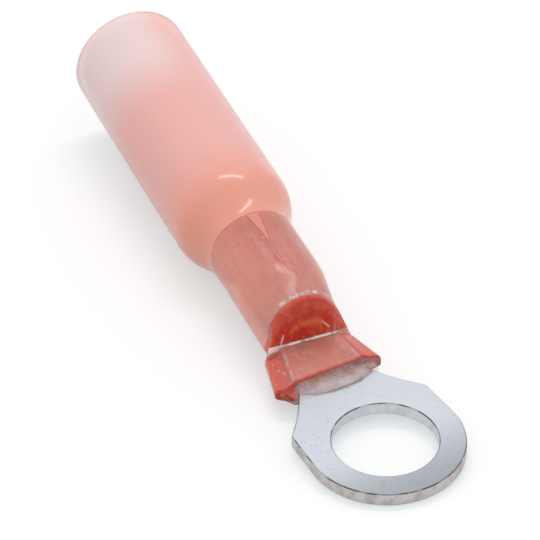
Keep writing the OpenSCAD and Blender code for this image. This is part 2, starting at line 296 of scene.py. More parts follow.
class Net:
    """Adds nodes to a tree and joins them, taking sockets or plain values."""

    def __init__(self, tree):
        self.tree = tree

    def feed(self, socket, value):
        """Links a socket, or sets its plain value."""
        if isinstance(value, bpy.types.NodeSocket):
            self.tree.links.new(value, socket)
        elif socket.type == "RGBA":
            socket.default_value = (*value[:3], 1.0)
        else:
            socket.default_value = value

    def math(self, operation, *values):
        """One math node."""
        made = self.tree.nodes.new("ShaderNodeMath")
        made.operation = operation
        for socket, value in zip(made.inputs, values):
            self.feed(socket, value)
        return made.outputs["Value"]

    def times(self, *values):
        """Product of several values."""
        total = values[0]
        for value in values[1:]:
            total = self.math("MULTIPLY", total, value)
        return total

    def span(self, value, low, high, to_low=0.0, to_high=1.0, smooth=True):
        """Maps a value from one range to another, clamped."""
        made = self.tree.nodes.new("ShaderNodeMapRange")
        made.interpolation_type = "SMOOTHSTEP" if smooth else "LINEAR"
        for name, number in (("Value", value), ("From Min", low), ("From Max", high), ("To Min", to_low),
                             ("To Max", to_high)):
            self.feed(made.inputs[name], number)
        return made.outputs["Result"]

    def line(self, value, centre, half):
        """1 where a value is at the centre, 0 from half away on."""
        away = self.math("ABSOLUTE", self.math("SUBTRACT", value, centre))
        return self.span(away, half, 0.0)

    def blend(self, factor, first, second, kind="MIX"):
        """Mixes two colours by a value."""
        made = self.tree.nodes.new("ShaderNodeMix")
        made.data_type = "RGBA"
        made.blend_type = kind
        colours = [socket for socket in made.inputs if socket.type == "RGBA"]
        self.feed(made.inputs["Factor"], factor)
        self.feed(colours[0], first)
        self.feed(colours[1], second)
        return [socket for socket in made.outputs if socket.type == "RGBA"][0]

    def object_place(self):
        """Object coordinates."""
        return self.tree.nodes.new("ShaderNodeTexCoord").outputs["Object"]

    def straight_place(self, *stretch):
        """Place on the straight part in millimetres, stretched along the axes."""
        mapping = self.tree.nodes.new("ShaderNodeMapping")
        mapping.inputs["Scale"].default_value = stretch
        self.feed(mapping.inputs["Vector"], self.attribute("place", "Vector"))
        return mapping.outputs["Vector"]

    def noise(self, vector, scale, detail=3.0, roughness=0.55):
        """Noise value around one half."""
        made = self.tree.nodes.new("ShaderNodeTexNoise")
        self.feed(made.inputs["Vector"], vector)
        self.feed(made.inputs["Scale"], scale)
        made.inputs["Detail"].default_value = detail
        made.inputs["Roughness"].default_value = roughness
        return made.outputs["Fac"]

    def attribute(self, name, output="Fac"):
        """Value or vector kept on the mesh's points."""
        made = self.tree.nodes.new("ShaderNodeAttribute")
        made.attribute_name = name
        return made.outputs[output]

    def bump(self, height, strength, distance, normal=None):
        """Normal bent by a height."""
        made = self.tree.nodes.new("ShaderNodeBump")
        made.inputs["Strength"].default_value = strength
        made.inputs["Distance"].default_value = distance
        self.feed(made.inputs["Height"], height)
        if normal is not None:
            self.feed(made.inputs["Normal"], normal)
        return made.outputs["Normal"]

    def group(self, tree, **values):
        """Places a node group and gives its outputs by name."""
        made = self.tree.nodes.new("ShaderNodeGroup")
        made.node_tree = tree
        for name, value in values.items():
            self.feed(made.inputs[name.replace("_", " ").title()], value)
        return made.outputs


def new_material(name):
    """Empty node material, its net and its Principled shader."""
    material = bpy.data.materials.new(name)
    material.use_nodes = True
    return material, Net(material.node_tree), material.node_tree.nodes["Principled BSDF"]


def grain_group():
    """Shared shader group: fine grain, slow blotches and sparse specks, from Object coordinates."""
    name = "Surface Grain"
    if name in bpy.data.node_groups:
        return bpy.data.node_groups[name]
    group = bpy.data.node_groups.new(name, "ShaderNodeTree")
    for socket in ("Grain Scale", "Blotch Scale", "Speck Scale"):
        group.interface.new_socket(socket, in_out="INPUT", socket_type="NodeSocketFloat")
    for socket in ("Grain", "Blotch", "Specks"):
        group.interface.new_socket(socket, in_out="OUTPUT", socket_type="NodeSocketFloat")
    net = Net(group)
    inputs = group.nodes.new("NodeGroupInput").outputs
    outputs = group.nodes.new("NodeGroupOutput").inputs
    place = net.object_place()
    net.feed(outputs["Grain"], net.noise(place, inputs["Grain Scale"], 4.0))
    net.feed(outputs["Blotch"], net.noise(place, inputs["Blotch Scale"], 3.0))
    net.feed(outputs["Specks"], net.span(net.noise(place, inputs["Speck Scale"], 2.0), 0.60, 0.68))
    return group


def place_group():
    """Shared shader group: place on the straight part in millimetres, kept on each piece's points."""
    name = "Straight Place"
    if name in bpy.data.node_groups:
        return bpy.data.node_groups[name]
    group = bpy.data.node_groups.new(name, "ShaderNodeTree")
    for socket in ("Along", "Across", "Height", "Off Centre"):
        group.interface.new_socket(socket, in_out="OUTPUT", socket_type="NodeSocketFloat")
    net = Net(group)
    outputs = group.nodes.new("NodeGroupOutput").inputs
    split = group.nodes.new("ShaderNodeSeparateXYZ")
    net.feed(split.inputs["Vector"], net.attribute("place", "Vector"))
    for socket, axis in (("Along", "X"), ("Across", "Y"), ("Height", "Z")):
        net.feed(outputs[socket], split.outputs[axis])
    net.feed(outputs["Off Centre"], net.math("ABSOLUTE", split.outputs["Y"]))
    return group


def tin_material(sizes, sleeve, lining):
    """Satin tin plating with warm stamped side walls, a dark burr line, and the film's tint where it is covered."""
    material, net, shader = new_material("tin_plating")
    shader.inputs["Metallic"].default_value = 1.0
    place = net.group(place_group())
    grain = net.group(grain_group(), grain_scale=9000, blotch_scale=700, speck_scale=3500)
    wall, burr = net.attribute("wall"), net.attribute("burr")
    plate = net.blend(net.span(grain["Blotch"], 0.35, 0.65), [c * 0.92 for c in sizes.colour], sizes.colour)
    plate = net.blend(net.times(grain["Specks"], 0.25), plate, [c * 0.7 for c in sizes.colour])
    # Painted shade: the plating is drawn darker toward the ring's front tip.
    tip = net.span(place["Along"], 0.5, -4.0)
    plate = net.blend(tip, plate, net.blend(1.0, plate, [sizes.tip_shade] * 3, "MULTIPLY"))
    streak = net.noise(net.straight_place(1, 1, 0.6), 2.2, 4.0)
    side = net.blend(net.span(streak, 0.36, 0.56), [c * 0.78 for c in sizes.cut_colour], sizes.cut_colour)
    out = net.math("SQRT", net.math("ADD", net.times(place["Along"], place["Along"]),
                                    net.times(place["Across"], place["Across"])))
    bored = net.blend(net.span(streak, 0.36, 0.56), [c * 0.9 for c in sizes.bored_colour], sizes.bored_colour)
    side = net.blend(net.span(out, STUD_HOLE_R / MM + 0.4, STUD_HOLE_R / MM + 0.2), side, bored)
    base = net.blend(net.span(wall, 0.6, 1.0), plate, side)
    broken = net.span(net.noise(net.object_place(), 1400, 3.0), 0.40, 0.56, 0.15, 1.0)
    base = net.blend(net.times(net.span(burr, 0.1, 0.7), broken), base, sizes.burr_colour)
    front_x = (MOUTH_X - sleeve.mouth_gap - sleeve.ramp_l - sleeve.flat_l) / MM
    covered = net.span(place["Along"], front_x - 0.1, front_x + 0.3)
    mottle = net.noise(net.straight_place(0.35, 1, 1), 4.2, 4.0, 0.7)
    tint = net.blend(net.span(mottle, 0.40, 0.62), sizes.tint, sizes.stain)
    base = net.blend(covered, base, tint, "MULTIPLY")
    # Painted light: under the melt lip, the pink of the light that the melt lets through is painted onto the metal.
    wetted = net.span(place["Along"], front_x - lining.squeeze_l / MM, front_x - lining.squeeze_l / MM + 0.5)
    base = net.blend(net.times(wetted, 0.5), base, (0.92, 0.74, 0.74), "MULTIPLY")
    net.feed(shader.inputs["Base Color"], base)
    net.feed(shader.inputs["Roughness"], net.span(grain["Blotch"], 0.3, 0.7, 0.48, 0.58))
    fine = net.bump(grain["Grain"], 0.25, 0.02 * MM)
    pitted = net.bump(net.math("SUBTRACT", 1.0, grain["Specks"]), 0.35, 0.012 * MM, fine)
    net.feed(shader.inputs["Normal"], net.bump(streak, 0.12, 0.03 * MM, pitted))
    return material


def film_material(sizes):
    """Translucent pink-red film: clear and deep where shrunk, whitish where still expanded and painted lighter near the
    open end, whitened at the crease, with painted highlights and painted shade.
    """
    material, net, shader = new_material("shrink_film")
    place = net.group(place_group())
    along, across, height, off_centre = (place[name] for name in ("Along", "Across", "Height", "Off Centre"))
    grain = net.group(grain_group(), grain_scale=5200, blotch_scale=650, speck_scale=4200)
    inside, edge = net.attribute("inside"), net.attribute("edge")
    neck_x = (MOUTH_X - sizes.mouth_gap) / MM
    crease_x = neck_x - sizes.ramp_l / MM
    front_x = crease_x - sizes.flat_l / MM
    swell_x, mouth_x, end_x = sizes.swell_x / MM, MOUTH_X / MM, OPEN_END_X / MM

    # Over the barrel the metal shows through, mottled and streaked along the axis
    drawn = net.noise(net.straight_place(0.12, 1, 1), 3.4, 3.0, 0.6)
    colour = net.blend(net.span(drawn, 0.38, 0.62), [c * 0.9 for c in sizes.colour], sizes.colour)
    colour = net.blend(net.times(net.span(grain["Grain"], 0.56, 0.66), 0.7), colour, [c * 0.7 for c in sizes.colour])
    colour = net.blend(net.times(net.span(grain["Blotch"], 0.5, 0.62), 0.5), colour, sizes.shoulder)
    barrel_end = swell_x + 0.2
    beyond = net.math("MULTIPLY_ADD", net.span(along, barrel_end - 0.1, barrel_end + 0.1), 0.5,
                      net.span(along, barrel_end - 1.2, barrel_end + 0.8, 0.0, 0.5))
    bare = net.times(net.span(off_centre, 1.55, 2.1), net.span(along, crease_x, neck_x))
    beyond = net.math("MAXIMUM", beyond, net.times(bare, net.span(across, -1.0, 1.0, 0.75, 0.5)))
    thick = net.times(net.span(across, 0.6, 1.8), net.span(along, crease_x, neck_x + 0.5))
    beyond = net.math("MAXIMUM", beyond, net.times(thick, 0.45))

    # The seam and the V notch of the barrel show as orange lines along the top
    notch_x = barrel_end - 2.6
    aside = net.math("ABSOLUTE", net.math("SUBTRACT", across, 0.05))
    notch = net.math("SUBTRACT", aside, net.times(net.math("SUBTRACT", along, notch_x), 0.135))
    above = net.span(height, 3.2, 3.6)
    open_notch = net.times(net.span(notch, 0.04, -0.04), net.span(along, notch_x, notch_x + 0.1), above)
    beyond = net.math("MAXIMUM", beyond, net.times(open_notch, 0.55))
    colour = net.blend(beyond, colour, sizes.shoulder)
    seam = net.times(net.line(aside, 0.0, 0.08), net.span(along, notch_x + 0.05, notch_x - 0.05),
                     net.span(along, mouth_x + 0.4, mouth_x + 1.6))
    lips = net.times(net.line(notch, 0.0, 0.07), net.span(along, notch_x - 0.05, notch_x + 0.1),
                     net.span(along, barrel_end + 0.05, barrel_end - 0.05))
    rear = net.times(net.line(along, barrel_end, 0.08), net.span(height, 2.4, 3.0))
    mark = net.times(net.math("MAXIMUM", rear, net.times(net.math("MAXIMUM", seam, lips), above)), 0.6)
    colour = net.blend(mark, colour, sizes.flap)
    colour = net.blend(net.span(along, swell_x + 1.2, swell_x + 6.5), colour, sizes.tube)
    # Toward the open end the film is whitish where it is still expanded, and painted lighter on the +Y side as light
    # through the hollow tube.
    backlit_end = net.times(net.span(along, end_x - 8.0, end_x - 3.0), net.span(across, -2.4, 0.6))
    colour = net.blend(backlit_end, colour, sizes.milky_backlit)

    # Ahead of the barrel's mouth only melt lies behind the film, so it looks deep and clear; its dark red is partly the
    # melt's own colour and partly painted shade from the hollow mouth behind.
    ramp = net.math("MAXIMUM", net.span(along, crease_x, crease_x + 0.02), net.span(height, 1.36, 1.46))
    ahead = net.times(ramp, net.span(along, mouth_x - 0.02, mouth_x - 0.14))
    glow = net.span(net.noise(net.object_place(), 1500, 5.0, 0.75), 0.44, 0.58)
    raised = net.math("SUBTRACT", height, 1.5)
    out = net.math("SQRT", net.math("ADD", net.times(across, across), net.times(raised, raised)))
    arc = net.math("MAXIMUM", net.line(out, 0.95, 0.5), net.times(net.line(out, 0.25, 0.3), 0.7))
    arc = net.math("MAXIMUM", arc, net.times(net.span(out, 1.3, 1.7), 0.45))
    deep = net.blend(net.times(glow, arc), sizes.deep, sizes.amber)
    colour = net.blend(ahead, colour, deep)
    # Painted highlights: two short glint lines on the dome beside the barrel's mouth.
    left_glint = net.line(net.math("MULTIPLY_ADD", height, 0.28, across), 1.88, 0.08)
    right_glint = net.line(net.math("MULTIPLY_ADD", height, -0.76, across), -2.5, 0.10)
    fold_glints = net.times(net.math("MAXIMUM", left_glint, right_glint), ramp, net.span(height, 2.45, 2.2),
                      net.span(along, mouth_x - 0.1, mouth_x - 0.3))

    # Beside the metal the two layers of film are pressed together
    ridge = net.span(along, front_x, crease_x, sizes.ridge_front / MM, sizes.ridge_back / MM, smooth=False)
    beside = net.math("SUBTRACT", off_centre, ridge)
    on_band = net.span(along, crease_x + 0.05, crease_x - 0.02)
    flap = net.times(on_band, net.span(beside, -0.02, 0.2))
    colour = net.blend(flap, colour, sizes.flap)
    broken = net.span(net.noise(net.object_place(), 2300, 2.0), 0.42, 0.56)
    pale = net.times(on_band, net.line(beside, -0.05, 0.09), broken)
    # The crease is whitened by folding, and painted lighter still as its highlight.
    wander = net.math("MULTIPLY_ADD", net.noise(net.object_place(), 900, 1.0), 0.16, crease_x - 0.05)
    crease_glints_and_flecks = net.times(net.line(along, wander, 0.10), net.span(height, 1.44, 1.34), net.span(height, 0.85, 1.15))
    crease_glints_and_flecks = net.math("MINIMUM", net.times(crease_glints_and_flecks, net.span(broken, 0.0, 1.0, 1.0, 1.8)), 1.0)
    ribbed = net.span(net.noise(net.straight_place(0.3, 1, 1), 4.5, 2.0), 0.42, 0.58)
    # Painted highlight: white glints where the film bends over the barrel's mouth.
    glint = net.times(net.line(along, mouth_x + 0.14, 0.24), net.span(height, 2.9, 3.4), ribbed)
    crease_glints_and_flecks = net.math("MAXIMUM", crease_glints_and_flecks, net.times(fold_glints, broken, 0.75))
    flecks = net.times(net.span(net.noise(net.straight_place(0.7, 1, 1), 5.5, 2.0), 0.62, 0.70),
                       net.line(across, 0.45, 0.8), net.span(height, 3.0, 3.4),
                       net.span(along, mouth_x + 0.6, mouth_x + 1.6), net.span(along, mouth_x + 5.2, mouth_x + 4.0))
    crease_glints_and_flecks = net.math("MAXIMUM", crease_glints_and_flecks, net.times(flecks, 0.5))
    specks = net.times(net.span(grain["Specks"], 0.3, 1.0), on_band, 0.22)
    # This white holds the real whitening and specks and the painted highlights alike.
    white = net.math("MAXIMUM", net.math("MAXIMUM", net.times(pale, 0.45), specks),
                     net.math("MAXIMUM", crease_glints_and_flecks, net.times(glint, 0.8)))
    colour = net.blend(white, colour, sizes.white)
    # The front edge is drawn dark red: the film seen end-on, with painted shade under it.
    colour = net.blend(edge, colour, sizes.rim)
    net.feed(shader.inputs["Base Color"], colour)

    alpha = net.span(beyond, 0.0, 1.0, 0.55, 0.88)
    for mask, least in ((flap, 0.85), (ahead, 0.78), (white, 1.0), (edge, 0.9)):
        alpha = net.math("MAXIMUM", alpha, net.times(mask, least))
    net.feed(shader.inputs["Alpha"], net.times(alpha, net.span(inside, 0.5, 1.0, 1.0, 0.12)))
    net.feed(shader.inputs["Roughness"], net.span(along, swell_x + 2.0, swell_x + 5.0, 0.15, 0.27))
    shader.inputs["IOR"].default_value = 1.5
    shader.inputs["Subsurface Weight"].default_value = 0.5
    shader.inputs["Subsurface Radius"].default_value = (1.0, 0.4, 0.35)
    shader.inputs["Subsurface Scale"].default_value = 0.8 * MM
    shrunk = net.span(along, swell_x + 0.5, swell_x - 1.0, 0.08, 1.0)
    soft = net.bump(net.times(grain["Blotch"], shrunk), 0.35, 0.06 * MM)
    net.feed(shader.inputs["Normal"], net.bump(net.times(grain["Grain"], shrunk), 0.30, 0.03 * MM, soft))
    return material


def melt_material(sizes, sleeve):
    """Clear pinkish hot melt, browned in places, hidden in all but name behind the shrunk film."""
    material, net, shader = new_material("hot_melt")
    place = net.group(place_group())
    along = place["Along"]
    grain = net.group(grain_group(), grain_scale=3500, blotch_scale=1500, speck_scale=2600)
    front_x = (MOUTH_X - sleeve.mouth_gap - sleeve.ramp_l - sleeve.flat_l) / MM
    burnt = net.span(net.noise(net.object_place(), 620, 2.0), 0.56, 0.66)
    colour = net.blend(net.span(grain["Blotch"], 0.35, 0.65), sizes.colour, [c * 0.86 for c in sizes.colour])
    colour = net.blend(net.times(burnt, 0.8), colour, sizes.scorched)

    # On the +Y side the pressed film closes over the melt and colours it
    closed = net.span(place["Across"], 1.75, 1.95)
    colour = net.blend(closed, colour, sleeve.flap)
    net.feed(shader.inputs["Base Color"], colour)
    lip = net.span(grain["Blotch"], 0.35, 0.65, 0.25, 0.5)
    hidden = net.span(along, front_x, front_x + 0.5)
    alpha = net.math("MULTIPLY_ADD", hidden, net.math("SUBTRACT", 0.08, lip), lip)
    open_x = (sleeve.swell_x + sleeve.swell_l) / MM
    alpha = net.math("ADD", alpha, net.span(along, open_x - 2.0, open_x, 0.0, 0.5))
    alpha = net.math("MAXIMUM", alpha, net.times(closed, net.span(along, front_x + 0.6, front_x + 0.2, 0.0, 0.95)))
    net.feed(shader.inputs["Alpha"], alpha)
    shader.inputs["Roughness"].default_value = 0.12
    shader.inputs["IOR"].default_value = 1.5
    shader.inputs["Subsurface Weight"].default_value = 0.3
    shader.inputs["Subsurface Radius"].default_value = (1.0, 0.7, 0.6)
    shader.inputs["Subsurface Scale"].default_value = 0.5 * MM
    net.feed(shader.inputs["Normal"], net.bump(grain["Grain"], 0.5, 0.08 * MM))
    return material


# Metal


def arc_points(centre, radius, start, end, steps):
    """Points of an arc between two angles in radians."""
    return [centre + radius * Vector((math.cos(mix(start, end, k / steps)), math.sin(mix(start, end, k / steps))))
            for k in range(steps + 1)]


def blank_outline(sizes):
    """Outline of the flat blank on the +Y side, from the ring's tip to the wire end."""
    shoulder = Vector((sizes.shoulder_x, RING_R - sizes.shoulder_inset))
    fillet_centre = Vector((sizes.neck_x, sizes.neck_half + sizes.fillet_r))
    reach = (fillet_centre - shoulder).length
    toward = (fillet_centre - shoulder) / reach
    inner_r = sizes.flare_r - sizes.fillet_r
    along = (sizes.flare_r ** 2 - inner_r ** 2 + reach ** 2) / (2 * reach)
    across = math.sqrt(sizes.flare_r ** 2 - along ** 2)
    flare_centre = shoulder + along * toward + across * Vector((-toward.y, toward.x))
    flare_dir = (flare_centre - shoulder) / sizes.flare_r
    start = math.atan2(-flare_dir.y, -flare_dir.x)
    end = math.atan2(fillet_centre.y - flare_centre.y, fillet_centre.x - flare_centre.x)
    side = Vector((sizes.shoulder_inset, sizes.shoulder_x)).normalized()
    spread = side.x * flare_dir.y - side.y * flare_dir.x
    corner = shoulder - sizes.shoulder_r * Vector((flare_dir.y - side.y, side.x - flare_dir.x)) / spread
    skip = sizes.shoulder_r * math.tan(math.acos(side.dot(flare_dir)) / 2) / sizes.flare_r
    blank_half = math.pi * MEAN_R - sizes.seam_gap / 2
    wing = Vector((MOUTH_X - sizes.wing_fillet, sizes.neck_half + sizes.wing_fillet))
    tip = 0.35 * MM
    end_x = straight_end("wire_barrel", 1) + sizes.lead_in
    points = arc_points(Vector((0, 0)), RING_R, math.pi, math.pi / 2 + 0.005, 72)
    points += arc_points(corner, sizes.shoulder_r, math.atan2(side.y, side.x),
                         math.atan2(flare_dir.y, flare_dir.x), 6)
    points += arc_points(flare_centre, sizes.flare_r, start + skip, end, 24)
    points += arc_points(fillet_centre, sizes.fillet_r, end, -math.pi / 2, 10)[1:]
    points += arc_points(wing, sizes.wing_fillet, -math.pi / 2, 0, 8)
    points += arc_points(Vector((MOUTH_X + tip, blank_half - tip)), tip, math.pi, math.pi / 2, 6)
    points += [Vector((end_x - sizes.notch_l, blank_half)), Vector((end_x, blank_half - sizes.notch_w / 2))]
    return points


def flat_blank(name, sizes):
    """The stamped blank as a mesh: a filled outline with a hole and rounded edges, lying on Z from 0 up."""
    upper = blank_outline(sizes)
    lower = [Vector((p.x, -p.y)) for p in reversed(upper[1:])]
    hole = arc_points(Vector((0, 0)), STUD_HOLE_R, 0, 2 * math.pi, 128)[:-1]
    curve = bpy.data.curves.new(name, "CURVE")
    curve.dimensions = "2D"
    curve.fill_mode = "BOTH"
    curve.bevel_depth = sizes.edge_r
    curve.bevel_resolution = 3
    curve.offset = -sizes.edge_r
    curve.extrude = SHEET_T / 2 - sizes.edge_r
    for loop in (upper + lower, hole):
        spline = curve.splines.new("POLY")
        spline.points.add(len(loop) - 1)
        for point, spot in zip(spline.points, loop):
            point.co = (spot.x, spot.y, 0, 1)
        spline.use_cyclic_u = True
    made = collection_link(bpy.data.objects.new(name + "_blank", curve))
    graph = bpy.context.evaluated_depsgraph_get()
    mesh = bpy.data.meshes.new_from_object(made.evaluated_get(graph))
    bpy.data.objects.remove(made)
    mesh.transform(Matrix.Translation((0, 0, SHEET_T / 2)))
    return mesh


def rolled(point, sizes):
    """Place on the straight part of a point of the blank, once the neck is curled and the barrel rolled."""
    share = clamp((point.x - MOUTH_X) / sizes.curl_l + 1) ** 2
    if share < 1e-4:
        return point
    radius = MEAN_R / share
    angle = point.y / radius
    inward = radius - (point.z - SHEET_T / 2)
    return Vector((point.x, inward * math.sin(angle), radius + SHEET_T / 2 - inward * math.cos(angle)))


def build_terminal(sizes, sleeve, lining):
    """Stamped ring tongue and rolled barrel, replacing the plain solid."""
    mesh = flat_blank("ring_and_barrel", sizes)
    bm = bmesh.new()
    bm.from_mesh(mesh)
    bmesh.ops.remove_doubles(bm, verts=bm.verts, dist=0.0005 * MM)
    curl_x = MOUTH_X - sizes.curl_l
    cuts = [((0, math.pi * MEAN_R * k / 36), (0, 1)) for k in range(-35, 36)]
    cuts += [((mix(curl_x, MOUTH_X, k / 8), 0), (1, 0)) for k in range(9)]
    cuts += [((mix(MOUTH_X, straight_end("wire_barrel", 1), k / 6), 0), (1, 0)) for k in range(1, 6)]
    cuts += [((mix(BEND_X - sizes.bend_l, BEND_X + sizes.bend_l, k / 8), 0), (1, 0)) for k in range(9)]
    for (x, y), (nx, ny) in cuts:
        low_x = curl_x - 0.2 * MM if ny else x - 0.2 * MM
        faces = [f for f in bm.faces if max(v.co.x for v in f.verts) > low_x]
        edges = {e for f in faces for e in f.edges}
        verts = {v for f in faces for v in f.verts}
        bmesh.ops.bisect_plane(bm, geom=list(verts) + list(edges) + faces, dist=1e-8,
                               plane_co=(x, y, 0), plane_no=(nx, ny, 0))
    bmesh.ops.triangulate(bm, faces=[f for f in bm.faces if len(f.verts) > 4])
    wall = bm.verts.layers.float.new("wall")
    burr = bm.verts.layers.float.new("burr")
    place = bm.verts.layers.float_vector.new("place")
    for vert in bm.verts:
        flat = vert.co.copy()
        vert[wall] = clamp(min(flat.z, SHEET_T - flat.z) / sizes.edge_r)
        vert[burr] = 1 - abs(2 * vert[wall] - 1) if flat.z > SHEET_T / 2 else 0.0
        straight = rolled(flat, sizes)
        vert[place] = straight / MM
        vert.co = bent(straight, smooth_step(BEND_X - sizes.bend_l / 2, BEND_X + sizes.bend_l / 2, flat.x))
    bmesh.ops.recalc_face_normals(bm, faces=bm.faces)
    bm.to_mesh(mesh)
    bm.free()
    mesh.polygons.foreach_set("use_smooth", [abs(face.normal.z) < 0.9999 for face in mesh.polygons])
    mesh.materials.clear()
    mesh.materials.append(tin_material(sizes, sleeve, lining))
    obj = collection_link(bpy.data.objects.new("ring_and_barrel", mesh))
    return finish_piece(obj, "tinned_copper", "terminal")


# Sleeve and lining


def stations(sizes):
    """Stations along the sleeve, from its front edge to its open end, closer where its form turns."""
    neck_x = MOUTH_X - sizes.mouth_gap
    crease_x = neck_x - sizes.ramp_l
    front_x = crease_x - sizes.flat_l
    slope_x = crease_x - sizes.crease_w
    flats = [front_x + step * MM for step in (0, 0.03, 0.07, 0.12, 0.2)]
    flats += [mix(flats[-1], slope_x, k / 16) for k in range(1, 17)]
    made = [Station(x, (crease_x - x) / sizes.flat_l, 0, 0, 1, 0) for x in flats]
    for k in range(1, 6):
        x = mix(slope_x, crease_x, k / 6)
        made.append(Station(x, (crease_x - x) / sizes.flat_l, smooth_step(0, 1, k / 6), 0, 1, 0))
    for k in range(25):
        turn = math.pi / 2 * k / 24
        made.append(Station(mix(neck_x, crease_x, math.cos(turn)), 0, 1, math.sin(turn), 1, 0))
    for k in range(1, 61):
        x = mix(neck_x, sizes.swell_x, k / 60)
        made.append(Station(x, 0, 1, 1, smooth_step(neck_x + sizes.taper_l, neck_x, x), 0))
    for k in range(1, 41):
        share = k / 40
        swell = share ** 3 * (share * (6 * share - 15) + 10)
        made.append(Station(sizes.swell_x + sizes.swell_l * share, 0, 1, 1, 0, swell))
    for k in range(1, 41):
        made.append(Station(mix(sizes.swell_x + sizes.swell_l, OPEN_END_X, k / 40), 0, 1, 1, 0, 1))
    return made


def pressed_point(angle, half_w, half_t, sizes, flat, bead):
    """Y and Z of a point of the pressed end: a rounded rectangle with flaps and ridges beside the metal."""
    y = half_w * signed_power(math.cos(angle), 0.5)
    if y < 0:
        y *= 1 + sizes.right_spread * mix(0.35, 1, flat)
    up = signed_power(math.sin(angle), 0.5)
    ridge = mix(sizes.ridge_back, sizes.ridge_front, flat) - 0.12 * MM * math.copysign(1, y)
    right, left = (sizes.right_drop, sizes.left_drop) if up > 0 else (sizes.right_rise, sizes.left_rise)
    drop = (left if y > 0 else right) * smooth_step(ridge, ridge + 0.6 * MM, abs(y))
    if up < 0:
        drop += sizes.left_lift * smooth_step(0.6 * MM, 1.6 * MM, y) * flat
    bead *= sizes.ridge_h * math.exp(-((abs(y) - ridge) / (0.16 * MM)) ** 2)
    return y, SHEET_T / 2 + sizes.flat_lift + (half_t - drop + bead) * up


def unevenness(x, angle, sizes, swell):
    """How far the film strays outwards from its plain form."""
    turn = Vector((0, math.cos(angle), math.sin(angle)))
    fine = noise.noise(Vector((x * 0.7 / MM, 0, 0)) + 1.4 * turn)
    slow = noise.noise(Vector((x * 0.12 / MM, 5, 0)) + 0.8 * turn)
    return sizes.lump * mix(fine, slow, smooth_step(0, 0.3, swell))


def front_offset(y, sizes):
    """How far the front edge lies behind its plain place, at a distance across the part."""
    rounded = sizes.corner * smooth_step(2.0 * MM, sizes.front_half + 0.2 * MM, y)
    waver = 0.06 * MM * noise.noise(Vector((y / (0.7 * MM), 4, 9)))
    return sizes.front_draw - sizes.front_skew * y + rounded + waver


def sleeve_ring(station, sizes, insets, reach=0.0):
    """Points of one section of a surface that lies inside the sleeve's outside by the three insets."""
    flat_in, neck_in, open_in = insets
    flat_in *= mix(1, sizes.rim_share, smooth_step(0.75, 1, station.flat))
    half_w = mix(sizes.crease_half, sizes.front_half, station.flat) - flat_in
    half_t = sizes.flat_half_t - flat_in
    points = []
    for i in range(sizes.sides):
        angle = 2 * math.pi * (i + 0.5) / sizes.sides
        up = clamp(signed_power(math.sin(angle), 0.5))
        flat_y, flat_z = pressed_point(angle, half_w, half_t, sizes, station.flat,
                                       clamp(1 - flat_in / sizes.flat_wall))
        flat_z -= sizes.crease_dip * station.dip * up
        narrow = sizes.neck_taper * (1 - neck_in / sizes.neck_cover) * station.taper
        round_r = mix(sizes.neck_r - neck_in, sizes.open_r - open_in, station.swell)
        round_r += unevenness(station.x, angle, sizes, station.swell)
        round_r -= max(narrow, 0) * smooth_step(0, 1, 1 + 2 * math.sin(angle))
        y = mix(flat_y, round_r * math.cos(angle), station.rise)
        z = mix(flat_z, AXIS_Z + round_r * math.sin(angle), station.rise)
        drawn = station.flat * front_offset(flat_y, sizes)
        behind = flat_in * up * math.sqrt(1 - station.rise ** 2) if station.dip == 1 else 0.0
        points.append(Vector((station.x + drawn + behind + reach, y, z)))
    return points


def build_sleeve(sizes):
    """Outer heat shrink tube as a closed shell with rounded rims."""
    places = stations(sizes)
    walls = (sizes.flat_wall, sizes.neck_wall, sizes.open_wall)
    rim = ((0.12, 0.05), (0.3, 0.09), (0.5, 0.1), (0.7, 0.09), (0.88, 0.05))
    rings, inside, edge = [], [], []

    def add(station, depth, reach, at_edge):
        rings.append(sleeve_ring(station, sizes, [w * depth for w in walls], reach * MM))
        inside.extend([depth] * sizes.sides)
        edge.extend([at_edge] * sizes.sides)

    front_x = places[0].x
    for station in places:
        add(station, 0, 0, clamp(1 - (station.x - front_x) / (0.12 * MM)))
    for depth, reach in rim:
        add(places[-1], depth, reach, 0)
    for station in reversed(places):
        add(station, 1, 0, 0)
    for depth, reach in reversed(rim):
        add(places[0], depth, -reach, 1)
    straight = [p for ring in rings for p in ring]
    faces = ring_faces(len(rings), sizes.sides, True)
    obj = mesh_object("shrink_sleeve", [bent(p) for p in straight], faces, film_material(sizes))
    write_values(obj.data, "place", "FLOAT_VECTOR", [p / MM for p in straight])
    write_values(obj.data, "inside", "FLOAT", inside)
    write_values(obj.data, "edge", "FLOAT", edge)
    return finish_piece(obj, "sleeve_film", "sleeve")


def lip_ring(x, share, sizes, sleeve):
    """Section of the squeezed out lip, where share is 0 at its tip and 1 where it leaves the sleeve."""
    full = math.sqrt(1 - (1 - share) ** 2)
    half_t = SHEET_T / 2 + 0.01 * MM + sizes.squeeze_t * full
    half_w = sizes.lip_half - sizes.squeeze_t * (1 - full)
    points = []
    for i in range(sleeve.sides):
        angle = 2 * math.pi * (i + 0.5) / sleeve.sides
        y, z = pressed_point(angle, half_w, half_t, sleeve, 1, 0)
        y -= sizes.lip_shift * (1 - share)
        z -= sleeve.flat_lift * (1 - full)
        spot = Vector((x, y, z)) / (0.45 * MM)
        wave = noise.noise(spot) + 0.5 * noise.noise(spot * 2.3)
        bow = sizes.lip_curve * y * y / MM + 0.8 * sizes.wave * noise.noise(Vector((y / (0.5 * MM), 2, 5)))
        bow = mix(bow, front_offset(y, sleeve), share ** 3)
        points.append(Vector((x + bow, y, z + sizes.wave * full * wave * signed_power(math.sin(angle), 0.5))))
    return points


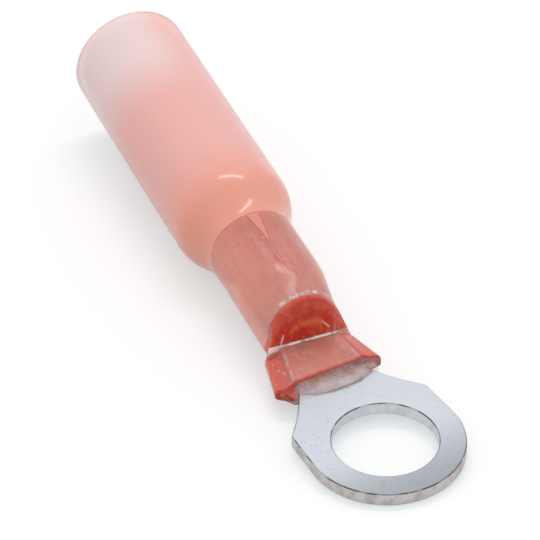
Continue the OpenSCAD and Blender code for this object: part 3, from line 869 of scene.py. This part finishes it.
def bubble_tree(material):
    """Geometry Nodes: small bubbles scattered over a surface by the value kept on its points."""
    tree = bpy.data.node_groups.new("Melt Bubbles", "GeometryNodeTree")
    for name, kind in (("Geometry", "Geometry"), ("Density", "Float"), ("Smallest", "Float"), ("Largest", "Float"),
                       ("Seed", "Int")):
        tree.interface.new_socket(name, in_out="INPUT", socket_type="NodeSocket" + kind)
    tree.interface.new_socket("Geometry", in_out="OUTPUT", socket_type="NodeSocketGeometry")
    nodes, links = tree.nodes, tree.links
    source, result = nodes.new("NodeGroupInput").outputs, nodes.new("NodeGroupOutput").inputs
    bubbly = nodes.new("GeometryNodeInputNamedAttribute")
    bubbly.data_type = "FLOAT"
    bubbly.inputs["Name"].default_value = "bubbly"
    amount = nodes.new("ShaderNodeMath")
    amount.operation = "MULTIPLY"
    links.new(source["Density"], amount.inputs[0])
    links.new(bubbly.outputs["Attribute"], amount.inputs[1])
    points = nodes.new("GeometryNodeDistributePointsOnFaces")
    links.new(source["Geometry"], points.inputs["Mesh"])
    links.new(amount.outputs[0], points.inputs["Density"])
    links.new(source["Seed"], points.inputs["Seed"])
    ball = nodes.new("GeometryNodeMeshUVSphere")
    ball.inputs["Segments"].default_value = 8
    ball.inputs["Rings"].default_value = 6
    ball.inputs["Radius"].default_value = 1.0
    size = nodes.new("FunctionNodeRandomValue")
    size.data_type = "FLOAT"
    numbers = [socket for socket in size.inputs if socket.type == "VALUE" and socket.enabled]
    links.new(source["Smallest"], numbers[0])
    links.new(source["Largest"], numbers[1])
    links.new(source["Seed"], size.inputs["Seed"])
    placed = nodes.new("GeometryNodeInstanceOnPoints")
    links.new(points.outputs["Points"], placed.inputs["Points"])
    links.new(ball.outputs["Mesh"], placed.inputs["Instance"])
    links.new([socket for socket in size.outputs if socket.enabled and socket.type == "VALUE"][0],
              placed.inputs["Scale"])
    real = nodes.new("GeometryNodeRealizeInstances")
    links.new(placed.outputs["Instances"], real.inputs["Geometry"])
    shade = nodes.new("GeometryNodeSetShadeSmooth")
    links.new(real.outputs["Geometry"], shade.inputs["Geometry"])
    paint = nodes.new("GeometryNodeSetMaterial")
    paint.inputs["Material"].default_value = material
    links.new(shade.outputs["Geometry"], paint.inputs["Geometry"])
    links.new(paint.outputs["Geometry"], result["Geometry"])
    return tree


def build_bubbles(lining_obj, sizes, material):
    """Bubbles in the melt, scattered over the lip and under the film, as a plain mesh."""
    tree = bubble_tree(material)
    modifier = lining_obj.modifiers.new("Bubbles", "NODES")
    modifier.node_group = tree
    values = {"Density": sizes.bubbles / MM ** 2, "Smallest": sizes.bubble_small, "Largest": sizes.bubble_large,
              "Seed": 7}
    for item in tree.interface.items_tree:
        if item.in_out == "INPUT" and item.name in values:
            modifier[item.identifier] = values[item.name]
    graph = bpy.context.evaluated_depsgraph_get()
    mesh = bpy.data.meshes.new_from_object(lining_obj.evaluated_get(graph))
    lining_obj.modifiers.remove(modifier)
    mesh.name = "melt_bubbles"
    obj = collection_link(bpy.data.objects.new("melt_bubbles", mesh))
    return finish_piece(obj, "hot_melt")


def build_lining(sizes, sleeve):
    """Hot melt lining with its lip squeezed out on the tongue, and the bubbles in it."""
    walls = [sleeve.flat_wall + sizes.gap, sleeve.neck_wall + sizes.gap, sleeve.open_wall + sizes.gap]
    inner = [sleeve.flat_wall + sizes.flat_t, sleeve.neck_cover, sleeve.open_r - ENTRY_R]
    places = stations(sleeve)
    tip_x = places[0].x - sizes.squeeze_l
    rings, bubbly = [], []
    for k in range(25):
        share = k / 24
        rings.append(lip_ring(tip_x + (sizes.squeeze_l - 0.05 * MM) * share ** 1.5, share, sizes, sleeve))
        bubbly.append(1.0)
    for station in places:
        rings.append(sleeve_ring(station, sleeve, walls))
        bubbly.append(mix(0.35, 0.05, station.rise) * (station.swell == 0))
    for station in reversed(places):
        if station.x > MOUTH_X:
            rings.append(sleeve_ring(station, sleeve, inner))
            bubbly.append(0.0)
    straight = [p for ring in rings for p in ring]
    faces = ring_faces(len(rings), sleeve.sides, False)
    for index in (0, len(rings) - 1):
        ring = range(index * sleeve.sides, (index + 1) * sleeve.sides)
        faces.append(tuple(ring) if index else tuple(reversed(ring)))
    material = melt_material(sizes, sleeve)
    obj = mesh_object("melt_lining", [bent(p) for p in straight], faces, material)
    write_values(obj.data, "place", "FLOAT_VECTOR", [p / MM for p in straight])
    write_values(obj.data, "bubbly", "FLOAT",
                 [amount * (p.z > SHEET_T) for amount, ring in zip(bubbly, rings) for p in ring])
    build_bubbles(obj, sizes, material)
    return finish_piece(obj, "hot_melt", "lining")


# Stage


def floor_material(sizes):
    """Pale floor that keeps soft shadows and reads as white to the camera."""
    material, net, shader = new_material("floor")
    shader.inputs["Base Color"].default_value = (*sizes.floor_colour, 1)
    shader.inputs["Roughness"].default_value = 0.9
    shader.inputs["Specular IOR Level"].default_value = 0.1
    path = net.tree.nodes.new("ShaderNodeLightPath").outputs
    seen = net.math("MAXIMUM", path["Is Camera Ray"],
                    net.math("MAXIMUM", path["Is Glossy Ray"], path["Is Transmission Ray"]))
    shader.inputs["Emission Color"].default_value = (*sizes.floor_glow, 1)
    net.feed(shader.inputs["Emission Strength"], seen)
    return material


def build_floor(sizes):
    """Floor through the two places that the part comes to rest on: the ring's tip and the front of the tube."""
    size = 0.6
    verts = [Vector((x, y, x * sizes.floor_slope_x + y * sizes.floor_slope_y - sizes.floor_drop))
             for x, y in ((-size, -size), (size, -size), (size, size), (-size, size))]
    floor = mesh_object("floor", verts, [(0, 1, 2, 3)], floor_material(sizes))
    return floor


def area_light(name, azimuth, elevation, distance, width, height, power):
    """Soft lamp aimed at the part from a direction given in degrees, wide along the horizon."""
    data = bpy.data.lights.new(name, "AREA")
    data.shape = "RECTANGLE"
    data.size = width
    data.size_y = height
    data.energy = power
    azimuth, elevation = math.radians(azimuth), math.radians(elevation)
    toward = Vector((math.cos(elevation) * math.cos(azimuth), math.cos(elevation) * math.sin(azimuth),
                     math.sin(elevation)))
    lamp = collection_link(bpy.data.objects.new(name, data))
    lamp.location = Vector((12 * MM, 0, 0)) + distance * toward
    lamp.rotation_euler = (-toward).to_track_quat("-Z", "Y").to_euler()
    return lamp


def build_camera(sizes):
    """Camera at the photographed angle."""
    azimuth, elevation, roll = (math.radians(v) for v in (sizes.azimuth, sizes.elevation, sizes.roll))
    forward = Vector((math.cos(elevation) * math.cos(azimuth), -math.cos(elevation) * math.sin(azimuth),
                      -math.sin(elevation)))
    right = forward.cross(Vector((0, 0, 1))).normalized()
    up = right.cross(forward)
    turned_right = math.cos(roll) * right - math.sin(roll) * up
    turned_up = math.sin(roll) * right + math.cos(roll) * up
    data = bpy.data.cameras.new("camera")
    data.lens = sizes.lens
    data.sensor_width = 36
    data.clip_start, data.clip_end = 0.01, 10
    camera = collection_link(bpy.data.objects.new("camera", data))
    target = Vector((sizes.target_x, sizes.target_y, 0))
    basis = Matrix((turned_right, turned_up, -forward)).transposed()
    camera.matrix_world = Matrix.Translation(target - sizes.distance * forward) @ basis.to_4x4()
    bpy.context.scene.camera = camera


class TERMINAL_OT_stage(bpy.types.Operator):
    """Make the floor, the lamp, the sky light and the camera"""

    bl_idname = "terminal.stage"
    bl_label = "Stage"

    def execute(self, context):
        sizes = context.scene.terminal_stage
        context.scene.view_settings.view_transform = "Standard"
        build_camera(sizes)
        build_floor(sizes)
        world = bpy.data.worlds.new("studio")
        world.use_nodes = True
        sky = world.node_tree.nodes["Background"]
        sky.inputs["Color"].default_value = (1, 1, 1, 1)
        sky.inputs["Strength"].default_value = sizes.sky
        context.scene.world = world
        area_light("key", -32, 65, 0.2, 0.13, 0.016, sizes.key)
        return {"FINISHED"}


class TERMINAL_OT_metal(bpy.types.Operator):
    """Make the stamped ring tongue with its rolled barrel"""

    bl_idname = "terminal.metal"
    bl_label = "Ring and Barrel"

    def execute(self, context):
        scene = context.scene
        build_terminal(scene.terminal_metal, scene.terminal_sleeve, scene.terminal_lining)
        return {"FINISHED"}


class TERMINAL_OT_sleeve(bpy.types.Operator):
    """Make the heat shrink sleeve"""

    bl_idname = "terminal.sleeve"
    bl_label = "Shrink Sleeve"

    def execute(self, context):
        build_sleeve(context.scene.terminal_sleeve)
        return {"FINISHED"}


class TERMINAL_OT_lining(bpy.types.Operator):
    """Make the hot melt lining and its bubbles"""

    bl_idname = "terminal.lining"
    bl_label = "Melt Lining"

    def execute(self, context):
        build_lining(context.scene.terminal_lining, context.scene.terminal_sleeve)
        return {"FINISHED"}


class TERMINAL_PT_panel(bpy.types.Panel):
    """Buttons for the pieces and the stage"""

    bl_idname = "TERMINAL_PT_panel"
    bl_label = "Ring Terminal"
    bl_space_type = "VIEW_3D"
    bl_region_type = "UI"
    bl_category = "Terminal"

    def draw(self, context):
        for operator in OPERATORS:
            self.layout.operator(operator.bl_idname)


GROUPS = {
    "terminal_metal": TerminalSizes,
    "terminal_sleeve": SleeveSizes,
    "terminal_lining": LiningSizes,
    "terminal_stage": StageSizes,
}
OPERATORS = (TERMINAL_OT_stage, TERMINAL_OT_metal, TERMINAL_OT_sleeve, TERMINAL_OT_lining)


def register():
    """Registers the property groups, the operators and the panel."""
    for name, group in GROUPS.items():
        bpy.utils.register_class(group)
        setattr(bpy.types.Scene, name, PointerProperty(type=group))
    for operator in OPERATORS:
        bpy.utils.register_class(operator)
    bpy.utils.register_class(TERMINAL_PT_panel)


def unregister():
    """Removes what register made."""
    bpy.utils.unregister_class(TERMINAL_PT_panel)
    for operator in reversed(OPERATORS):
        bpy.utils.unregister_class(operator)
    for name, group in reversed(list(GROUPS.items())):
        delattr(bpy.types.Scene, name)
        bpy.utils.unregister_class(group)


def main():
    """Builds the stage and the pieces."""
    register()
    bpy.ops.terminal.stage()
    bpy.ops.terminal.metal()
    bpy.ops.terminal.sleeve()
    bpy.ops.terminal.lining()


if __name__ == "__main__":
    main()
